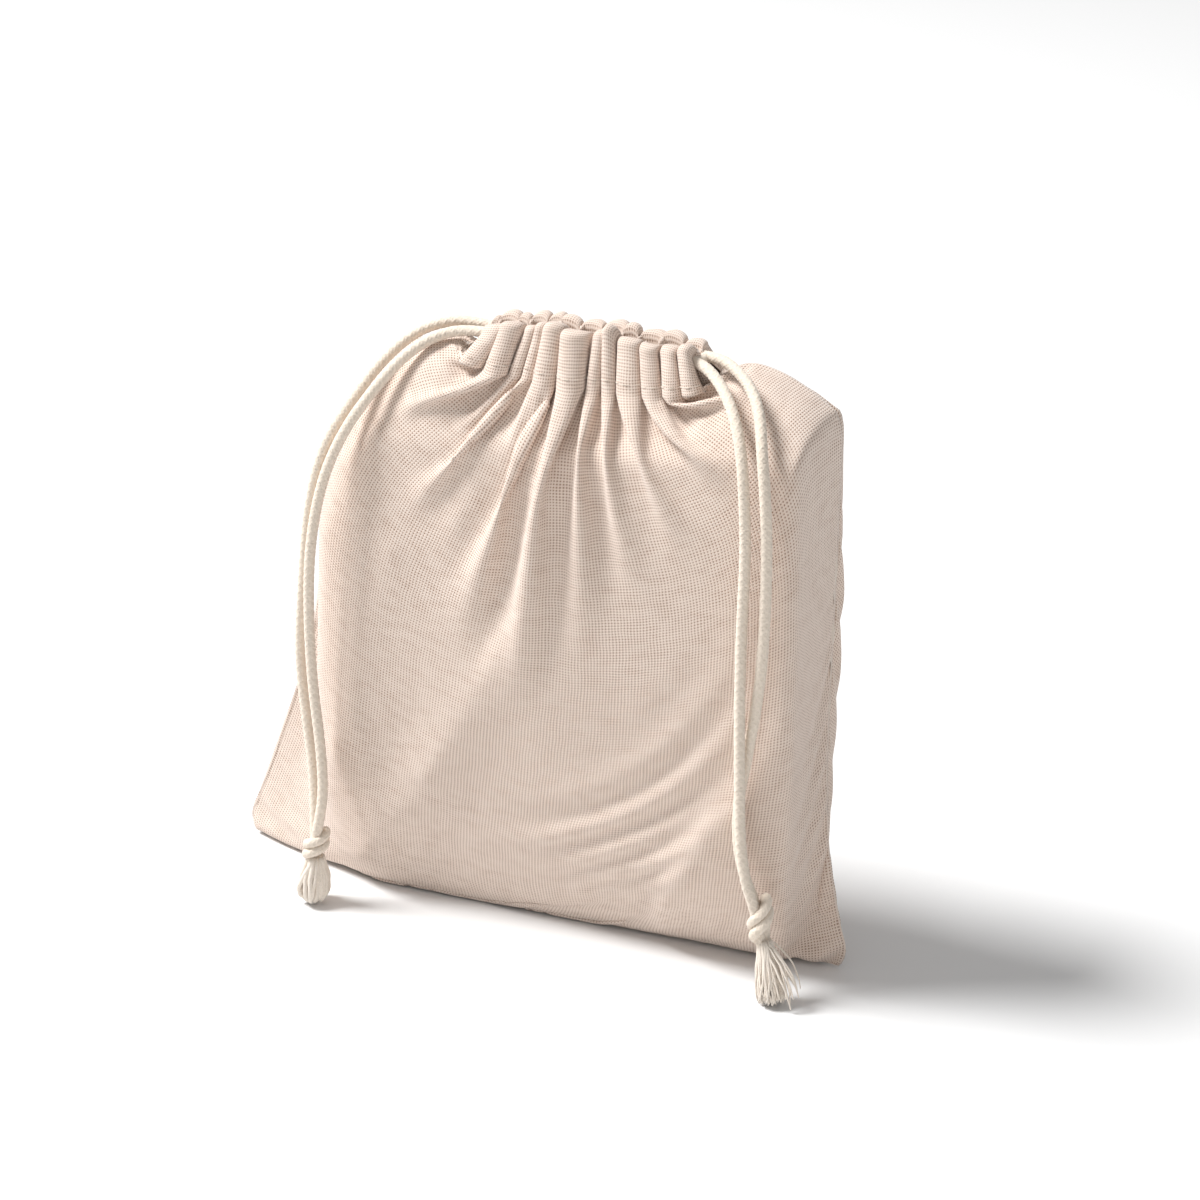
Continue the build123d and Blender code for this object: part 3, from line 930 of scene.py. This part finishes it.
def build_tassel(side, top, tip, count, girth, profile, yarn, stray):
    """Frayed ends: yarns leave the knot together, swell out, and close again towards their tips.

    Each yarn = top + share * down + size (cos a * across + sin a * front), its size from the profile
    and its angle a curling with the share; stray ones sweep to the right.
    """
    draw = np.random.default_rng(41 if side == "left" else 43)
    rings = 13
    along = np.linspace(0, 1, rings)
    angle = draw.uniform(0, 2 * np.pi, count)
    spot = np.sqrt(draw.uniform(0.03, 1, count))
    reach = draw.uniform(0.88, 1.0, count)
    top, tip = np.array(top) * MM, np.array(tip) * MM
    down = tip - top
    across = np.cross(down, (0.0, 1.0, 0.0))
    across /= np.linalg.norm(across)
    front = np.cross(across, down)
    front /= np.linalg.norm(front)
    steps = along[None] * reach[:, None]
    size = girth * MM * spot[:, None] * np.interp(steps, *profile)
    curl = draw.normal(0, 0.25, (count, 1)) * steps * 2 + draw.normal(0, 0.5, (count, 1)) * steps ** 2
    turn = angle[:, None] + curl
    paths = (
        top + steps[..., None] * down
        + (size * np.cos(turn))[..., None] * across + (size * np.sin(turn))[..., None] * front
    )
    loose = draw.random(count) < stray
    sweep = np.where(loose, draw.uniform(3.0, 7.5, count), 0.0)[:, None] * MM
    paths[..., 0] += sweep * steps ** 0.8 * np.clip(steps * 6, 0, 1)
    paths[..., 2] += sweep * 0.9 * (steps - steps ** 5)
    paths[..., 2] = np.maximum(paths[..., 2], yarn * MM * 0.6)
    wave = 0.12 * MM * np.sin(steps * draw.uniform(8, 22, (count, 1)) + angle[:, None])
    paths[..., 0] += wave
    taper = np.interp(along, [0, 0.1, 0.85, 1], [1, 1, 0.9, 0.45])
    radii = yarn * MM * draw.uniform(0.8, 1.15, (count, 1)) * taper
    piece = tube_bundle(f"{side}_tassel_yarns", paths, radii, 6, YARN_FINISH)
    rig.replaces(piece, f"{side}_tassel")
    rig.slot(piece, "frayed_cotton")
    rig.ride(piece, f"{side}_tails")
    return piece


def build_hidden_cords():
    """The lengths inside the casings, each in two halves that meet at the turn, and the ends that leave."""
    for side, sign, height in (("left", -1, CORD_Z), ("right", 1, CORD_Z - RIGHT_CORD_DROP)):
        edge = NECK_RIGHT if side == "right" else NECK_LEFT
        far = NECK_LEFT if side == "right" else NECK_RIGHT
        turn = far - sign * 1.2 * MM
        start = edge - sign * STUB_LENGTH
        for face, kind in ((-1, "front"), (1, "back")):
            half = np.array([
                (turn, 0.2 * MM * face, height), (turn, face * HIDDEN_Y * 0.6, height),
                (turn + sign * 1.6 * MM, face * HIDDEN_Y, height), (start, face * HIDDEN_Y, height),
            ])
            piece, _, _ = braid_tube(
                f"{side}_{kind}_hidden_cord", half, CORD / 2, segments=16, step=0.5 * MM, up=(0, 0, 1)
            )
            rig.replaces(piece, f"{side}_cord_run")
            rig.slot(piece, "cotton_cord")
            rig.blend(
                piece, "pouch", f"{kind}_lip", (turn, 0, height), (turn + sign * 12 * MM, 0, height)
            )
            end = np.array([
                (start + sign * 0.3 * MM, face * HIDDEN_Y, height),
                (edge - sign * 14 * MM, face * HIDDEN_Y, height),
                (edge - sign * 9 * MM, face * HIDDEN_Y, CORD_Z),
                (edge + sign * 0.5 * MM, face * HIDDEN_Y, CORD_Z),
            ])
            stub, _, _ = braid_tube(
                f"{side}_{kind}_cord_end", end, CORD / 2, segments=16, step=0.5 * MM, up=(0, 0, 1)
            )
            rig.replaces(stub, f"{side}_cord_ends")
            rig.slot(stub, "cotton_cord")
            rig.ride(stub, f"{side}_cord")


def build_cords():
    """Four tails, each from its exit to its knot, with the knots and tassels that end them."""
    knots = {
        "left": ((-56.2, -30.2, 18.6), (-0.3, -0.5, -5.0), 1.15),
        "right": ((81.2, -24.4, 23.4), (1.2, -0.5, -5.0), 1.75),
    }
    tassels = {
        "left": ((-56.3, -30.4, 15.2), (-57.2, -31.4, 0.8), 50, 4.7,
                 ([0, 0.15, 0.45, 0.7, 0.9, 1.0], [0.42, 0.62, 0.95, 1.0, 0.85, 0.45]), 0.78, 0.0),
        "right": ((82.6, -25.0, 18.4), (86.0, -26.8, 0.7), 240, 3.5,
                  ([0, 0.2, 0.6, 0.85, 1.0], [0.5, 0.72, 1.1, 1.2, 1.0]), 0.32, 0.07),
    }
    for side, routes in (("left", (LEFT_OUTER, LEFT_INNER)), ("right", (RIGHT_OUTER, RIGHT_INNER))):
        centre, down, slope = knots[side]
        on_cord = build_knot(side, np.array(centre) * MM, down, slope)
        on_cord.append(build_tassel(side, *tassels[side]))
        for kind, route in zip(("outer", "inner"), routes):
            line = route_line(route)
            piece, centre, total = braid_tube(f"{side}_{kind}_tail", line, CORD / 2)
            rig.replaces(piece, f"{side}_tail_{kind}")
            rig.slot(piece, "cotton_cord")
            bend_end = centre[int(len(centre) * 0.09)]
            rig.blend(piece, f"{side}_cord", f"{side}_tails", centre[0], bend_end)
            path = [tuple(p) for p in centre[::6]] + [tuple(centre[-1])]
            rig.cord(
                piece, exit=tuple(centre[0]), length=float(total), diameter=CORD, far_end="knot",
                stiffness="limp", lay="hanging", path=path,
                with_pieces=on_cord if kind == "outer" else [],
            )


# ---- cloth ------------------------------------------------------------------
def band_along(name, line, inward, width, thick):
    """Strip that follows a line, wide along inward (one direction, or one a point) and thin in Y.

    Section = width / 2 * (1 + |cos a|^0.5) along inward and thick / 2 * |sin a|^0.8 along Y, signed.
    """
    inward = np.broadcast_to(inward, line.shape)[:, None]
    turn = np.linspace(0, 2 * np.pi, 12, endpoint=False)
    flat = np.sign(np.cos(turn)) * np.abs(np.cos(turn)) ** 0.5
    round_edge = np.sign(np.sin(turn)) * np.abs(np.sin(turn)) ** 0.8
    centre = line[:, None] + inward * (width / 2)
    points = centre + (flat * width / 2)[None, :, None] * inward + (
        round_edge * thick / 2
    )[None, :, None] * np.array((0.0, 1.0, 0.0))
    return grid_object(name, points, close_v=True, caps=True)


def build_seams(net):
    """Overlocked allowances inside the side and bottom seams, and the bars of stitches at the slits."""
    last = net.shape[2] - CASING_ROWS * 2
    for side, edge, inward in (("left", 0, 1.0), ("right", -1, -1.0)):
        line, within = (
            net[:, edge + int(inward) * inset, ALLOWANCE_START:last - 6:2].mean(0) for inset in (4, 8)
        )
        way = (within - line) / np.linalg.norm(within - line, axis=1)[:, None]
        strip = band_along(f"{side}_seam_allowance", line, way, 4 * MM, 0.6 * MM)
        coat(strip, THREAD_FINISH)
        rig.replaces(strip, f"{side}_side_seam")
        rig.slot(strip, "seam_allowance")
        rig.ride(strip, "pouch")
        end = net[0, edge, last - 1].copy()
        rungs = 9
        heights = np.linspace(-1.6, 1.6, rungs) * MM
        sweep = np.linspace(-1, 1, 7)
        paths = np.zeros((rungs, 7, 3))
        paths[..., 0] = end[0] - inward * (0.6 * MM + 0.5 * MM * (1 - sweep ** 2)) + inward * 0.5 * MM
        paths[..., 1] = sweep * 1.5 * MM
        paths[..., 2] = end[2] - 1.5 * MM + heights[:, None]
        bar = tube_bundle(f"{side}_bar_of_stitches", paths, np.full((rungs, 7), 0.24 * MM), 6, THREAD_FINISH)
        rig.replaces(bar, f"{side}_slit_bartack")
        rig.slot(bar, "sewing_thread")
        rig.ride(bar, "pouch")
    line = net[0, 24:-24:2, 0].copy()
    line[:, 2] += 0.8 * MM
    strip = band_along("bottom_seam_allowance", line, np.array((0.0, 0, 1.0)), 5 * MM, 1.1 * MM)
    coat(strip, THREAD_FINISH)
    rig.replaces(strip, "bottom_seam")
    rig.slot(strip, "seam_allowance")
    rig.ride(strip, "pouch")


def build_stitches(net, face, name):
    """Running stitches along the foot of a casing, lying in the cloth and following its lobes."""
    row = net.shape[2] - CASING_ROWS * 2 + 3
    line = net[face, :, row]
    columns = np.arange(3, net.shape[1] - 5, 4)
    shares = np.linspace(0, 1, 5)
    place = columns[:, None] + shares[None] * 2.2
    low = place.astype(int)
    paths = lerp(line[low], line[low + 1], (place - low)[..., None])
    paths[..., 1] += (-1 if face == 0 else 1) * 0.12 * MM * np.sin(np.pi * shares)[None]
    radii = np.full(paths.shape[:2], 0.17 * MM)
    piece = tube_bundle(f"{name}_casing_stitches", paths, radii, 5, THREAD_FINISH)
    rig.replaces(piece, f"{name}_casing_stitching")
    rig.slot(piece, "sewing_thread")
    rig.blend(piece, "pouch", f"{name}_lip", (0, 0, LIP_START), (0, 0, LIP_END))


def build_cloth():
    """Front and back panels, each one sheet with its casing."""
    net = drape()
    u = np.linspace(0, FLAT_WIDTH, net.shape[1])
    v = np.arange(net.shape[2]) * SPACING / 2
    uv = np.stack(np.meshgrid(u, v, indexing="ij"), -1)
    for face, name in ((0, "front"), (1, "back")):
        points = net[face] if face == 0 else net[face][::-1]
        sheet = grid_object(f"{name}_cloth", points, uv)
        coat(sheet, CLOTH_FINISH)
        solid = sheet.modifiers.new("cloth", "SOLIDIFY")
        solid.thickness = CLOTH
        solid.offset = -1
        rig.replaces(sheet, f"{name}_panel", f"{name}_casing")
        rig.slot(sheet, "cotton_cloth")
        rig.blend(sheet, "pouch", f"{name}_lip", (0, 0, LIP_START), (0, 0, LIP_END))
        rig.sheet(sheet, flat=(FLAT_WIDTH, FLAT_HEIGHT), held="gathered", rests_on=())
        build_stitches(net, face, name)
    build_seams(net)


# ---- stage ------------------------------------------------------------------
def build_stage():
    """Pale floor, one large soft key from the upper left, weak fill, and the camera."""
    floor_mesh = bpy.data.meshes.new("floor")
    reach = FLOOR_REACH
    floor_mesh.from_pydata(
        [(-reach, -reach, 0), (reach, -reach, 0), (reach, reach, 0), (-reach, reach, 0)], [], [(0, 1, 2, 3)]
    )
    floor = bpy.data.objects.new("floor", floor_mesh)
    bpy.context.scene.collection.objects.link(floor)
    paper = bpy.data.materials.new("floor_paper")
    paper.use_nodes = True
    paper.node_tree.nodes["Principled BSDF"].inputs["Base Color"].default_value = (*[FLOOR_SHADE] * 3, 1)
    paper.node_tree.nodes["Principled BSDF"].inputs["Roughness"].default_value = 0.8
    floor.data.materials.append(paper)
    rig.stage(floor)

    world = bpy.data.worlds.new("studio")
    world.use_nodes = True
    world.node_tree.nodes["Background"].inputs[0].default_value = (1, 1, 1, 1)
    world.node_tree.nodes["Background"].inputs[1].default_value = SKY
    bpy.context.scene.world = world
    bpy.context.scene.view_settings.view_transform = "Standard"

    light = bpy.data.lights.new("key", "AREA")
    light.shape = "DISK"
    light.size = KEY_SIZE
    light.energy = KEY_POWER
    key = bpy.data.objects.new("key", light)
    direction = np.array(KEY_PLACE) - np.array((0, 0, 0.08))
    yaw = math.atan2(direction[0], -direction[1])
    pitch = math.atan2(math.hypot(direction[0], direction[1]), direction[2])
    key.rotation_euler = (pitch, 0, yaw)
    key.location = KEY_PLACE
    bpy.context.scene.collection.objects.link(key)

    back = np.array((
        math.sin(AZIMUTH) * math.cos(ELEVATION), -math.cos(AZIMUTH) * math.cos(ELEVATION),
        math.sin(ELEVATION),
    ))
    lens = bpy.data.cameras.new("camera")
    lens.sensor_width = SENSOR
    lens.lens = LENS
    lens.clip_start = 0.01
    camera = bpy.data.objects.new("camera", lens)
    camera.location = np.array(TARGET) + back * DISTANCE
    camera.rotation_euler = (math.pi / 2 - ELEVATION, 0, AZIMUTH)
    bpy.context.scene.collection.objects.link(camera)
    bpy.context.scene.camera = camera


build_stage()
build_cords()
build_hidden_cords()
build_cloth()
with open("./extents.json", "w") as out:
    json.dump({"cad": cad_box, "visual": [list(map(float, c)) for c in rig.bounds()]}, out)
